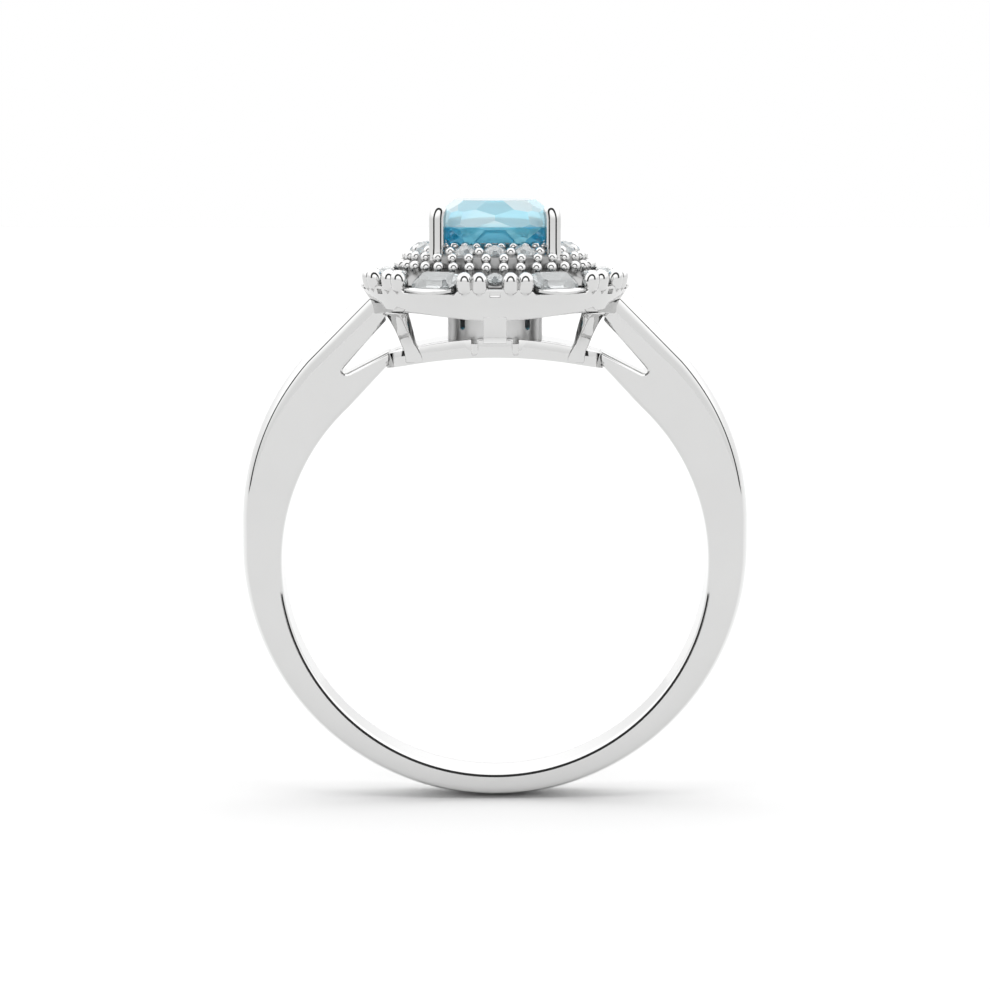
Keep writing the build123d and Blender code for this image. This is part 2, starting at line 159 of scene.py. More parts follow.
def setLight():
    world = bpy.data.worlds.new("softRoom")
    bpy.context.scene.world = world
    world.use_nodes = True
    nodes, links = world.node_tree.nodes, world.node_tree.links
    nodes.clear()
    place = nodes.new("ShaderNodeTexCoord")
    split = nodes.new("ShaderNodeSeparateXYZ")
    links.new(place.outputs["Generated"], split.inputs[0])
    turn = nodes.new("ShaderNodeMath")
    turn.operation = "MULTIPLY"
    turn.inputs[1].default_value = -1
    links.new(split.outputs["Y"], turn.inputs[0])
    ramp = nodes.new("ShaderNodeValToRGB")
    ramp.color_ramp.interpolation = "EASE"
    stops = ramp.color_ramp.elements
    bright, dark = (1, 1, 1, 1), (studio["flagDark"],) * 3 + (1,)
    outer, inner = cos(radians(studio["flagOuter"])), cos(radians(studio["flagInner"]))
    stops[0].position, stops[0].color = outer - 0.06, bright
    stops[1].position, stops[1].color = outer, dark
    for where, colour in ((inner, dark), (inner + 0.05, bright)):
        stop = stops.new(where)
        stop.color = colour
    links.new(turn.outputs[0], ramp.inputs["Fac"])
    climb = nodes.new("ShaderNodeMapRange")
    climb.interpolation_type = "SMOOTHSTEP"
    climb.inputs["From Min"].default_value = 0
    climb.inputs["From Max"].default_value = sin(radians(studio["fullSky"]))
    climb.inputs["To Min"].default_value = studio["horizonShade"]
    climb.inputs["To Max"].default_value = 1
    links.new(split.outputs["Z"], climb.inputs["Value"])
    lit = nodes.new("ShaderNodeVectorMath")
    lit.operation = "SCALE"
    links.new(ramp.outputs["Color"], lit.inputs[0])
    links.new(climb.outputs["Result"], lit.inputs["Scale"])
    room = nodes.new("ShaderNodeBackground")
    room.inputs["Strength"].default_value = studio["skyStrength"]
    links.new(lit.outputs[0], room.inputs["Color"])
    backdrop = nodes.new("ShaderNodeBackground")
    backdrop.inputs["Color"].default_value = (1, 1, 1, 1)
    backdrop.inputs["Strength"].default_value = 1.0
    glow = nodes.new("ShaderNodeBackground")          # what light that leaves a stone sees
    glow.inputs["Color"].default_value = (1, 1, 1, 1)
    glow.inputs["Strength"].default_value = studio["stoneGlow"]
    path = nodes.new("ShaderNodeLightPath")
    through = nodes.new("ShaderNodeMixShader")
    links.new(path.outputs["Is Transmission Ray"], through.inputs["Fac"])
    links.new(room.outputs[0], through.inputs[1])
    links.new(glow.outputs[0], through.inputs[2])
    pick = nodes.new("ShaderNodeMixShader")
    links.new(path.outputs["Is Camera Ray"], pick.inputs["Fac"])
    links.new(through.outputs[0], pick.inputs[1])
    links.new(backdrop.outputs[0], pick.inputs[2])
    out = nodes.new("ShaderNodeOutputWorld")
    links.new(pick.outputs[0], out.inputs["Surface"])
    bpy.context.scene.view_settings.view_transform = "Standard"


def addFloor():
    deselectAll()
    bpy.ops.mesh.primitive_plane_add(size=studio["floorSize"], location=(0, 0, cadLow.z))
    floor = bpy.context.object
    floor.name = "floor"
    material = bpy.data.materials.new("paleFloor")
    material.use_nodes = True
    shader = material.node_tree.nodes["Principled BSDF"]
    shader.inputs["Base Color"].default_value = (studio["floorShade"],) * 3 + (1,)
    shader.inputs["Roughness"].default_value = 0.8
    shader.inputs["Specular IOR Level"].default_value = 0.1
    floor.data.materials.append(material)


# materials

def newMaterial(name):
    material = bpy.data.materials.new(name)
    material.use_nodes = True
    nodes, links = material.node_tree.nodes, material.node_tree.links
    return material, nodes, links, nodes["Principled BSDF"]


grain = {
    "scale": 420,
    "detail": 3,
    "warmth": 0.995,       # blue against red and green
}


def whiteMetal(name, dull, bright, smoothest, roughest):
    material, nodes, links, shader = newMaterial(name)
    shader.inputs["Metallic"].default_value = 1
    place = nodes.new("ShaderNodeTexCoord")
    cloud = nodes.new("ShaderNodeTexNoise")
    cloud.inputs["Scale"].default_value = grain["scale"]
    cloud.inputs["Detail"].default_value = grain["detail"]
    links.new(place.outputs["Object"], cloud.inputs["Vector"])
    grainAndFacetSheen = nodes.new("ShaderNodeValToRGB")
    grainAndFacetSheen.color_ramp.elements[0].color = (dull, dull, dull * grain["warmth"], 1)
    grainAndFacetSheen.color_ramp.elements[1].color = (bright, bright, bright * grain["warmth"], 1)
    links.new(cloud.outputs["Fac"], grainAndFacetSheen.inputs["Fac"])
    links.new(grainAndFacetSheen.outputs["Color"], shader.inputs["Base Color"])
    polish = nodes.new("ShaderNodeMapRange")
    polish.inputs["To Min"].default_value = smoothest
    polish.inputs["To Max"].default_value = roughest
    links.new(cloud.outputs["Fac"], polish.inputs["Value"])
    links.new(polish.outputs["Result"], shader.inputs["Roughness"])
    return material


def gemMaterial(name, low, high, level, transmission, ior):
    # low and high: colours under and over a height. The lighter upper pair is a painted highlight on the
    # crown, and the darker lower pair is painted shade in the pavilion. Each is a (darker, lighter) pair of
    # painted facet reflections
    material, nodes, links, shader = newMaterial(name)
    shader.inputs["Roughness"].default_value = 0.0
    shader.inputs["IOR"].default_value = ior
    shader.inputs["Transmission Weight"].default_value = transmission
    # each facet's value picks a darker or lighter colour: painted reflections on the facets
    facet = nodes.new("ShaderNodeAttribute")
    facet.attribute_name = "facetPaintedSheen"
    place = nodes.new("ShaderNodeTexCoord")
    split = nodes.new("ShaderNodeSeparateXYZ")
    links.new(place.outputs["Object"], split.inputs[0])
    # above the level the crown takes the paler colours: painted highlight
    crownLightMask = nodes.new("ShaderNodeMapRange")
    crownLightMask.inputs["From Min"].default_value = level - 0.02 * mm
    crownLightMask.inputs["From Max"].default_value = level + 0.02 * mm
    links.new(split.outputs["Z"], crownLightMask.inputs["Value"])
    facetSheens = []
    for darker, lighter in (low, high):
        grainAndFacetSheen = nodes.new("ShaderNodeValToRGB")
        grainAndFacetSheen.color_ramp.elements[0].color = darker + (1,)
        grainAndFacetSheen.color_ramp.elements[1].color = lighter + (1,)
        links.new(facet.outputs["Fac"], grainAndFacetSheen.inputs["Fac"])
        facetSheens.append(grainAndFacetSheen)
    paintedLightZone = nodes.new("ShaderNodeMix")
    paintedLightZone.data_type = "RGBA"
    links.new(crownLightMask.outputs["Result"], paintedLightZone.inputs["Factor"])
    links.new(facetSheens[0].outputs["Color"], paintedLightZone.inputs["A"])
    links.new(facetSheens[1].outputs["Color"], paintedLightZone.inputs["B"])
    links.new(paintedLightZone.outputs["Result"], shader.inputs["Base Color"])
    return material


def evenNormals(piece):
    # keeps the shading of broad faces flat beside their soft edges
    weigh = piece.modifiers.new("normals", "WEIGHTED_NORMAL")
    weigh.keep_sharp = True
    applyModifiers(piece)


# first pieces from the frame

def softCopy(node, material, bevelWidth):
    piece = copyOf(frame["nodes"][node])
    piece.name = node + "_finished"
    if "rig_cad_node" in piece:
        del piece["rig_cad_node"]
    makeActive(piece)
    bpy.ops.object.mode_set(mode="EDIT")
    bpy.ops.mesh.select_all(action="SELECT")
    bpy.ops.mesh.remove_doubles(threshold=0.5e-6)
    bpy.ops.mesh.dissolve_limited(angle_limit=radians(0.5))
    bpy.ops.object.mode_set(mode="OBJECT")
    softenEdges(piece, bevelWidth)
    bpy.ops.object.shade_smooth_by_angle(angle=radians(40))
    evenNormals(piece)
    piece.data.materials.clear()
    piece.data.materials.append(material)
    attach(piece, "root")
    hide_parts(node)
    return piece


# drawing helpers: pieces are drawn in millimetres and brought to metres when they are finished

def startPiece(name):
    deselectAll()
    bpy.ops.mesh.primitive_plane_add(size=1, location=(0, 0, 0))
    piece = bpy.context.object
    piece.name = piece.data.name = name
    bpy.ops.object.mode_set(mode="EDIT")
    bpy.ops.mesh.select_mode(type="VERT")
    bpy.ops.mesh.delete(type="VERT")
    return piece


def drawLine(start, moves):
    # moves: ("to", point) draws a straight run, ("turn", centre, axis, degrees, steps) an arc
    bpy.ops.mesh.select_all(action="DESELECT")
    bpy.ops.mesh.primitive_plane_add(size=1, location=start)
    bpy.ops.mesh.merge(type="CENTER")
    mesh = bpy.context.edit_object.data
    for move in moves:
        if move[0] == "to":
            here = next(v.co.copy() for v in bmesh.from_edit_mesh(mesh).verts if v.select)
            bpy.ops.mesh.extrude_region_move(TRANSFORM_OT_translate={"value": Vector(move[1]) - here})
        else:
            centre, axis, angle, steps = move[1:]
            bpy.ops.mesh.spin(steps=steps, angle=radians(angle), center=centre, axis=axis)


def pick(kind, test):
    bpy.ops.mesh.select_mode(type={"verts": "VERT", "edges": "EDGE", "faces": "FACE"}[kind])
    bpy.ops.mesh.select_all(action="DESELECT")
    shape = bmesh.from_edit_mesh(bpy.context.edit_object.data)
    for part in getattr(shape, kind):
        part.select_set(bool(test(part)))
    bmesh.update_edit_mesh(bpy.context.edit_object.data)


def closeShape():
    bpy.ops.mesh.select_all(action="SELECT")
    bpy.ops.mesh.remove_doubles(threshold=joinGap)
    bpy.ops.mesh.normals_make_consistent(inside=False)


def softenEdges(piece, width, segments=3, angle=35):
    bevel = piece.modifiers.new("edges", "BEVEL")
    bevel.width = width
    bevel.segments = segments
    bevel.limit_method = "ANGLE"
    bevel.angle_limit = radians(angle)
    applyModifiers(piece)


def finishPiece(piece, material, nodes, smooth=40, even=True):
    makeActive(piece)
    bpy.ops.object.mode_set(mode="EDIT")
    bpy.ops.mesh.select_all(action="SELECT")
    bpy.ops.transform.resize(value=(mm, mm, mm), center_override=(0, 0, 0))
    bpy.ops.object.mode_set(mode="OBJECT")
    bpy.ops.object.shade_smooth_by_angle(angle=radians(smooth))
    if even:
        evenNormals(piece)
    piece.data.materials.clear()
    piece.data.materials.append(material)
    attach(piece, "root")
    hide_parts(*nodes)
    return piece


# band

band = {
    "width": 2.6,
    "sideRadius": 10.305,
    "lowCentre": 0.6,            # centre of the lower outside arc
    "shoulderCentre": (0.105, 1.6),
    "shoulderRadius": 10.2,
    "shoulderTurn": 41.7,        # degrees of shoulder arc before the straight run
    "crownDrop": 0.24,           # the outside falls by this much at its edges
    "shoulderDrop": 0.3,         # and by this much more where it meets the head
    "armEnd": 4.9,
    "armLowEnd": 4.42,           # its lower corner reaches further in, to the side pillar
    "armThick": 1.5,
    "notchSlope": 27.5,
    "notchCorner": 0.13,
    "lowerArmTop": 8.6,          # top of the lower arm where it meets the base
    "lowerArmEnd": 4.3,
    "boreWrap": 137,
    "crownSteps": 8,
    "edge": 0.04,
    "comfort": (0.045, 0.15),    # chamfer inside the hole: how deep, and how far in from the sides
    # the flat sides swell a little: how far in from the outside, from the hole, and how far out
    "swell": ((0.07, 0.1, 0.028), (0.22, 0.125, 0.044), (0.4, 0.14, 0.054), (0.53, 0.147, 0.058)),
}


def bandLoop(level, share, outerIn=0, innerIn=0):
    low, side = band["lowCentre"], band["sideRadius"] - band["crownDrop"] * share - outerIn
    cx, cz = band["shoulderCentre"]
    shoulder = band["shoulderRadius"] - band["crownDrop"] * share - outerIn
    turn = radians(band["shoulderTurn"])
    top = (cx + shoulder * cos(turn), cz + shoulder * sin(turn))
    run = (top[0] - band["armEnd"]) / sin(turn)
    end = (band["armEnd"], top[1] + run * cos(turn) - band["shoulderDrop"] * share)
    armIn = band["shoulderRadius"] - band["armThick"] + innerIn
    under = (cx + armIn * cos(turn), cz + armIn * sin(turn))
    rise, fall = 1 / tan(turn), tan(radians(band["notchSlope"]))
    lowArm = band["lowerArmTop"] - innerIn
    apexX = (under[1] + under[0] * rise - lowArm - band["lowerArmEnd"] * fall) / (rise - fall)
    apex = Vector((apexX, lowArm - (apexX - band["lowerArmEnd"]) * fall))
    crownDir = Vector((-sin(turn), cos(turn)))
    lowDir = Vector((-cos(atan2(fall, 1)), sin(atan2(fall, 1))))
    half = crownDir.angle(lowDir) / 2
    soft = band["notchCorner"] + innerIn
    crownTouch = apex + crownDir * (soft / tan(half))
    lowTouch = apex + lowDir * (soft / tan(half))
    middle = apex + (crownDir + lowDir).normalized() * (soft / sin(half))
    armLow = (band["armLowEnd"], under[1] + (under[0] - band["armLowEnd"]) * rise)
    wrap = radians(band["boreWrap"])
    bore = frame["record"]["mounts"][0]["dims"]["r_mm"] + innerIn
    holeEnd = (bore * sin(wrap), -bore * cos(wrap))
    rising = cos(wrap) / sin(wrap)
    holeTip = (band["lowerArmEnd"], holeEnd[1] - (holeEnd[0] - band["lowerArmEnd"]) * rising)
    up, down = (0, 1, 0), (0, -1, 0)
    corner = 180 - degrees(2 * half)

    def at(x, z):
        return (x, level, z)
    drawLine(at(-end[0], end[1]), (
        ("to", at(-top[0], top[1])),
        ("turn", at(-cx, cz), up, band["shoulderTurn"], 24),
        ("to", at(-side, low)),
        ("turn", at(0, low), up, 180, 100),
        ("to", at(cx + shoulder, cz)),
        ("turn", at(cx, cz), up, band["shoulderTurn"], 24),
        ("to", at(*end)),
        ("to", at(*armLow)),
        ("to", at(*crownTouch)),
        ("turn", at(*middle), down, corner, 8),
        ("to", at(band["lowerArmEnd"], lowArm)),
        ("to", at(*holeTip)),
        ("to", at(*holeEnd)),
        ("turn", at(0, 0), down, 2 * band["boreWrap"], 140),
        ("to", at(-holeTip[0], holeTip[1])),
        ("to", at(-band["lowerArmEnd"], lowArm)),
        ("to", at(-lowTouch[0], lowTouch[1])),
        ("turn", at(-middle[0], middle[1]), down, corner, 8),
        ("to", at(-armLow[0], armLow[1])),
        ("to", at(-end[0], end[1])),
    ))


def makeBand():
    piece = startPiece("band")
    flat = band["width"] / 2 - band["swell"][-1][2]
    rings = [(-flat - lift, 1, outer, inner) for outer, inner, lift in reversed(band["swell"])]
    comfort, reach = band["comfort"]
    steps = [2 * step / band["crownSteps"] - 1 for step in range(band["crownSteps"] + 1)]
    for across in sorted(steps + [1 - reach / flat, reach / flat - 1]):
        rings.append((across * flat, across ** 2, 0, comfort if abs(across) == 1 else 0))
    rings += [(flat + lift, 1, outer, inner) for outer, inner, lift in band["swell"]]
    for ring in rings:
        bandLoop(*ring)
    bpy.ops.mesh.select_all(action="SELECT")
    bpy.ops.mesh.remove_doubles(threshold=joinGap)
    levels = [ring[0] for ring in rings]
    for low, high in zip(levels, levels[1:]):
        pick("edges", lambda e: abs(e.verts[0].co.y - e.verts[1].co.y) < 1e-4 and (
            abs(e.verts[0].co.y - low) < 1e-4 or abs(e.verts[0].co.y - high) < 1e-4))
        bpy.ops.mesh.bridge_edge_loops()
    for level in (levels[0], levels[-1]):
        pick("edges", lambda e: all(abs(v.co.y - level) < 1e-4 for v in e.verts))
        bpy.ops.mesh.edge_face_add()
    closeShape()
    softenEdges(piece, band["edge"])
    print("band drawn")
    return finishPiece(piece, metal, ["shank"])


# base rail under the head

rail = {
    "halfX": 4.38,
    "halfY": 2.0,
    "corner": 1.2,
    "thick": 0.8,
    "low": 8.42,          # underside at the centre
    "height": 0.76,
    "lowRadius": 20.0,    # arch of the underside
    "highRadius": 14.5,   # arch of the top, which makes the rail deepest in the middle
    "slotPlace": 0.83,    # slots beside the middle feet, from the centre line
    "slotWidth": 0.25,
    "slotFloor": 0.06,
    "slotDeep": 0.6,
    "slotCorner": 0.1,
    "edge": 0.05,
}


def roundedLoop(halfX, halfY, corner, z, steps=20):
    # a rounded rectangle seen from above, with extra points along its long sides
    straight = halfX - corner
    long = [("to", (straight - 2 * straight * k / steps, halfY, z)) for k in range(1, steps + 1)]
    back = [("to", (-straight + 2 * straight * k / steps, -halfY, z)) for k in range(1, steps + 1)]
    down = (0, 0, -1)
    drawLine((straight, halfY, z), long + [
        ("turn", (-straight, halfY - corner, z), down, 90, 8),
        ("to", (-halfX, corner - halfY, z)),
        ("turn", (-straight, corner - halfY, z), down, 90, 8)] + back + [
        ("turn", (straight, corner - halfY, z), down, 90, 8),
        ("to", (halfX, halfY - corner, z)),
        ("turn", (straight, halfY - corner, z), down, 90, 8)])


def bridgeRings(rings):
    # joins closed loops, each given by a test on its own vertices
    for here, there in zip(rings, rings[1:]):
        pick("edges", lambda e: all(here(v.co) for v in e.verts) or all(there(v.co) for v in e.verts))
        bpy.ops.mesh.bridge_edge_loops()


def lowAcross(edge):
    # a cutter's lower edges that run through the piece
    return all(v.co.z < 0 for v in edge.verts) and abs(edge.verts[0].co.y - edge.verts[1].co.y) > 0.5


def cutWith(piece, cutter):
    cut = piece.modifiers.new("cut", "BOOLEAN")
    cut.operation = "DIFFERENCE"
    cut.object = cutter
    cut.solver = "EXACT"
    applyModifiers(piece)
    bpy.data.objects.remove(cutter)


def makeRail():
    piece = startPiece("baseRail")
    inX, inY = rail["halfX"] - rail["thick"], rail["halfY"] - rail["thick"]
    inCorner = max(rail["corner"] - rail["thick"], 0.05)
    low, high = 0, rail["height"]
    for x, y, corner in ((rail["halfX"], rail["halfY"], rail["corner"]), (inX, inY, inCorner)):
        for z in (low, high):
            roundedLoop(x, y, corner, z)
    bpy.ops.mesh.select_all(action="SELECT")
    bpy.ops.mesh.remove_doubles(threshold=joinGap)

    def outside(co):
        return abs(co.x) > inX + 0.01 or abs(co.y) > inY + 0.01
    tests = [lambda co: outside(co) and co.z < 0.1, lambda co: outside(co) and co.z > 0.1,
             lambda co: not outside(co) and co.z > 0.1, lambda co: not outside(co) and co.z < 0.1]
    bridgeRings(tests + tests[:1])
    closeShape()
    mesh = bmesh.from_edit_mesh(piece.data)
    columns = sorted({round(v.co.x, 4) for v in mesh.verts})
    for radius, low, high in ((rail["lowRadius"], -1, 0.1), (rail["highRadius"], 0.1, 2)):
        for column in columns:                   # lays the flat frame on its arches
            pick("verts", lambda v: abs(v.co.x - column) < 6e-5 and low < v.co.z < high)
            drop = rail["low"] + sqrt(radius ** 2 - column ** 2) - radius
            bpy.ops.transform.translate(value=(0, 0, drop))
    deselectAll()
    softenEdges(piece, rail["edge"])
    for sideX in (-1, 1):
        for sideY in (-1, 1):
            deselectAll()
            middle = rail["low"] + rail["slotFloor"] + rail["height"]
            bpy.ops.mesh.primitive_cube_add(size=1, location=(
                sideX * rail["slotPlace"], sideY * rail["halfY"], middle))
            cutter = bpy.context.object
            bpy.ops.object.mode_set(mode="EDIT")
            bpy.ops.transform.resize(value=(rail["slotWidth"], rail["slotDeep"] * 2, 2 * rail["height"]))
            pick("edges", lowAcross)
            bpy.ops.mesh.bevel(offset=rail["slotCorner"], segments=4)
            deselectAll()
            cutWith(piece, cutter)
    print("base rail drawn")
    return finishPiece(piece, metal, ["base_rail"])


# pillars between the rail and the gallery wall

middlePillar = {
    # width, front (y, z) and back (y, z) of each section from the foot up to the wall
    "sections": ((1.4, (-2.01, 8.43), (-1.62, 8.43)), (1.4, (-2.01, 9.1), (-1.62, 9.16)),
                 (0.93, (-2.06, 9.13), (-1.64, 9.24)), (0.91, (-2.8, 9.1), (-2.3, 9.4)),
                 (0.91, (-3.7, 9.1), (-2.9, 9.48)), (0.91, (-4.4, 9.2), (-3.6, 9.58)),
                 (0.91, (-4.82, 9.42), (-4.1, 9.76)), (0.91, (-4.99, 9.76), (-4.35, 10.0)),
                 (0.91, (-5.04, 10.25), (-4.4, 10.3))),
    "edge": 0.03,
}

sidePillar = {
    # middle (x, y), width, depth, height of each section from the foot up
    "sections": ((3.23, -1.83, 0.7, 0.38, 8.2), (3.25, -1.83, 0.68, 0.4, 8.45),
                 (3.32, -1.85, 0.62, 0.42, 8.72), (3.47, -1.92, 0.56, 0.44, 9.0),
                 (3.57, -2.15, 0.58, 0.5, 9.35), (3.66, -2.5, 0.6, 0.56, 9.65),
                 (3.81, -2.9, 0.7, 0.6, 10.05), (3.93, -3.15, 0.8, 0.62, 10.3)),
    "lean": 6,          # degrees that each section turns past the one under it
    "rearOut": 0.22,    # the rear pair stands this much wider apart
    "edge": 0.07,
}


def sectionStack(piece, corners):
    # corners: one list of four points for each section
    for points in corners:
        drawLine(points[0], [("to", point) for point in points[1:] + points[:1]])
    bpy.ops.mesh.select_all(action="SELECT")
    bpy.ops.mesh.remove_doubles(threshold=joinGap)
    for here, there in zip(corners, corners[1:]):
        near = [Vector(p) for p in here + there]
        pick("edges", lambda e: all(any((v.co - p).length < 1e-3 for p in near) for v in e.verts))
        bpy.ops.mesh.bridge_edge_loops()
    for ends in (corners[0], corners[-1]):
        near = [Vector(p) for p in ends]
        pick("verts", lambda v: any((v.co - p).length < 1e-3 for p in near))
        bpy.ops.mesh.edge_face_add()
    closeShape()


def makePillars():
    shape = startPiece("middlePillar")
    sectionStack(shape, [[(-w / 2, *front), (w / 2, *front), (w / 2, *rear), (-w / 2, *rear)]
                         for w, front, rear in middlePillar["sections"]])
    deselectAll()
    softenEdges(shape, middlePillar["edge"], angle=30)
    for name, turn in (("pillar_front", 0), ("pillar_back", 180)):
        placeCopy(shape, name + "_finished", turn=turn, nodes=[name])
    bpy.data.objects.remove(shape)
    shape = startPiece("sidePillar")
    corners = []
    for number, (x, y, wide, deep, z) in enumerate(sidePillar["sections"]):
        angle = radians(sidePillar["lean"] * number)
        along, into = Vector((cos(angle), sin(angle))), Vector((-sin(angle), cos(angle)))
        corners.append([tuple(Vector((x, y)) + along * (sx * wide / 2) + into * (sy * deep / 2)) + (z,)
                        for sx, sy in ((-1, -1), (1, -1), (1, 1), (-1, 1))])
    sectionStack(shape, corners)
    deselectAll()
    softenEdges(shape, sidePillar["edge"], angle=50)
    for name, mirrorX, mirrorY in (("front_right", 1, 1), ("back_right", 1, -1),
                                   ("front_left", -1, 1), ("back_left", -1, -1)):
        out = sidePillar["rearOut"] if mirrorY < 0 else 0
        placeCopy(shape, "pillar_" + name + "_finished", move=(out * mirrorX, 0, 0),
                  scale=(mirrorX, mirrorY, 1), nodes=["pillar_" + name], smooth=60, even=False)
    bpy.data.objects.remove(shape)
    print("pillars drawn")


def placeCopy(shape, name, nodes, turn=0, move=(0, 0, 0), scale=(1, 1, 1), smooth=40, even=True):
    copy = copyOf(shape, name)
    copy.rotation_euler.z = radians(turn)
    copy.scale = scale
    copy.location = move
    applyPlace(copy)
    bpy.ops.object.mode_set(mode="EDIT")
    bpy.ops.mesh.select_all(action="SELECT")
    bpy.ops.mesh.normals_make_consistent(inside=False)
    deselectAll()
    return finishPiece(copy, metal, nodes, smooth, even)


# gallery wall

wall = {
    "low": 10.2,
    "lowRadius": 5.02,
    "high": 11.14,
    "highRadius": 5.37,
    "thick": 0.62,
    "steps": 144,
    "bulge": 1.4,          # over 1, the wall flares most near its top
    "gapRise": 0.2,        # the top stands this much higher between the petals
    "gapHalf": 16,         # degrees
    "wave": 0.12,          # the lower edge dips to the pillars and the band by this much
    "waves": 4,
    "lip": ((5.05, 11.1), (5.4, 11.1), (5.47, 11.2), (5.44, 11.3), (5.36, 11.34), (5.05, 11.34)),
    "lipHalf": 11.5,       # degrees either side of a petal's middle
    "lipSteps": 12,
    "lipEdge": 0.03,
    "lipCurve": 0.12,      # its lower edge rises by this much at the ends
    "edge": 0.07,
    "windowWide": 0.42,
    "windowHigh": 0.2,
    "windowZ": 11.12,
    "windowDeep": 0.5,
    "windowCorner": 0.03,
}


def makeLips():
    # a curved lip under each petal stone
    shape = startPiece("lip")
    line, half, steps = wall["lip"], wall["lipHalf"], wall["lipSteps"]
    start = radians(petalTurn / 2 - half)
    points = [(sin(start) * r, -cos(start) * r, z) for r, z in line]
    drawLine(points[0], [("to", point) for point in points[1:] + points[:1]])
    bpy.ops.mesh.select_all(action="SELECT")
    bpy.ops.mesh.remove_doubles(threshold=joinGap)
    bpy.ops.mesh.select_all(action="SELECT")
    bpy.ops.mesh.edge_face_add()
    bpy.ops.mesh.spin(steps=steps, angle=radians(-2 * half), center=(0, 0, 0), axis=(0, 0, 1))
    bpy.ops.mesh.select_all(action="SELECT")
    bpy.ops.mesh.normals_make_consistent(inside=False)
    for step in range(steps + 1):
        angle = start + radians(2 * half * step / steps)
        out = Vector((sin(angle), -cos(angle)))
        pick("verts", lambda v: v.co.z < line[2][1] + 0.01 and v.co.xy.normalized().dot(out) > 0.99997)
        rise = wall["lipCurve"] * ((step - steps / 2) / (steps / 2)) ** 2
        bpy.ops.transform.translate(value=(0, 0, rise))
    deselectAll()
    softenEdges(shape, wall["lipEdge"])
    copies = [copyOf(shape) for number in range(petals)]
    for number, copy in enumerate(copies):
        copy.rotation_euler.z = radians(petalTurn * number)
    bpy.data.objects.remove(shape)
    lips = joinCopies(copies, copies[0])
    applyPlace(lips)
    return lips


collet = {
    # outside radius and height from the foot up
    "profile": ((1.92, 8.95), (1.92, 10.4), (1.99, 11.6), (2.07, 12.85), (2.05, 13.02)),
    "thick": 0.28,
    "slotAngles": (43, 137, 223, 317),
    "slotWide": 0.27,
    "slotLow": 9.5,
    "slotHigh": 11.2,
    "slotDeep": 1.2,
    "slotRound": 0.48,     # corner of a slot's foot, as a share of its width
    "edge": 0.03,
}


def makeCollet():
    piece = startPiece("centreCollet")
    line = collet["profile"] + tuple((r - collet["thick"], z) for r, z in reversed(collet["profile"]))
    drawLine((0, -line[0][0], line[0][1]), [("to", (0, -r, z)) for r, z in line[1:] + line[:1]])
    bpy.ops.mesh.select_all(action="SELECT")
    bpy.ops.mesh.remove_doubles(threshold=joinGap)
    bpy.ops.mesh.select_all(action="SELECT")
    bpy.ops.mesh.spin(steps=96, angle=2 * pi, center=(0, 0, 0), axis=(0, 0, 1))
    closeShape()
    deselectAll()
    softenEdges(piece, collet["edge"])
    tall = collet["slotHigh"] - collet["slotLow"]
    for slotAngle in collet["slotAngles"]:
        angle = radians(slotAngle)
        radius = collet["profile"][0][0]
        deselectAll()
        bpy.ops.mesh.primitive_cube_add(size=1, rotation=(0, 0, angle), location=(
            sin(angle) * radius, -cos(angle) * radius, collet["slotLow"] + tall / 2))
        cutter = bpy.context.object
        bpy.ops.object.mode_set(mode="EDIT")
        bpy.ops.transform.resize(value=(collet["slotWide"], collet["slotDeep"], tall), orient_type="LOCAL")
        pick("edges", lowAcross)
        bpy.ops.mesh.bevel(offset=collet["slotWide"] * collet["slotRound"], segments=5)
        deselectAll()
        cutWith(piece, cutter)
    print("collet drawn")
    return finishPiece(piece, satinMetal, ["centre_collet"])


def makeWall():
    piece = startPiece("galleryWall")
    low, high, thick = wall["low"], wall["high"], wall["thick"]
    flare = wall["highRadius"] - wall["lowRadius"]
    outside = [(wall["lowRadius"] + flare * share ** wall["bulge"], low + (high - low) * share)
               for share in (0, 0.25, 0.5, 0.75, 1)]
    inside = [(r - thick, z) for r, z in reversed(outside)]
    line = outside + inside
    drawLine((0, -line[0][0], line[0][1]), [("to", (0, -r, z)) for r, z in line[1:] + line[:1]])
    bpy.ops.mesh.select_all(action="SELECT")
    bpy.ops.mesh.remove_doubles(threshold=joinGap)
    bpy.ops.mesh.select_all(action="SELECT")
    bpy.ops.mesh.spin(steps=wall["steps"], angle=2 * pi, center=(0, 0, 0), axis=(0, 0, 1))
    closeShape()
    for step in range(wall["steps"]):                 # waves the lower edge
        angle = 2 * pi * step / wall["steps"]
        out = Vector((sin(angle), -cos(angle)))
        pick("verts", lambda v: v.co.z < low + 0.02 and v.co.xy.normalized().dot(out) > 0.9999)
        bpy.ops.transform.translate(value=(0, 0, -wall["wave"] * cos(wall["waves"] * angle)))
        toGap = abs((degrees(angle) + petalTurn / 2) % petalTurn - petalTurn / 2)
        if toGap < wall["gapHalf"]:
            pick("verts", lambda v: v.co.z > high - 0.02 and v.co.xy.normalized().dot(out) > 0.9999)
            bpy.ops.transform.translate(value=(0, 0, wall["gapRise"]))
    deselectAll()
    softenEdges(piece, wall["edge"])
    for number in range(petals):
        angle = radians(petalTurn * number)
        deselectAll()
        bpy.ops.mesh.primitive_cube_add(size=1, location=(
            sin(angle) * wall["highRadius"], -cos(angle) * wall["highRadius"], wall["windowZ"]),
            rotation=(0, 0, angle))
        cutter = bpy.context.object
        bpy.ops.object.mode_set(mode="EDIT")
        bpy.ops.transform.resize(value=(wall["windowWide"], wall["windowDeep"], wall["windowHigh"]),
                                 orient_type="LOCAL")
        bpy.ops.mesh.bevel(offset=wall["windowCorner"], segments=2)
        deselectAll()
        cutWith(piece, cutter)
    joinCopies([makeLips(), piece], piece)
    print("gallery wall drawn")
    return finishPiece(piece, metal, ["gallery_wall"])


# ball-headed claws round the gallery wall

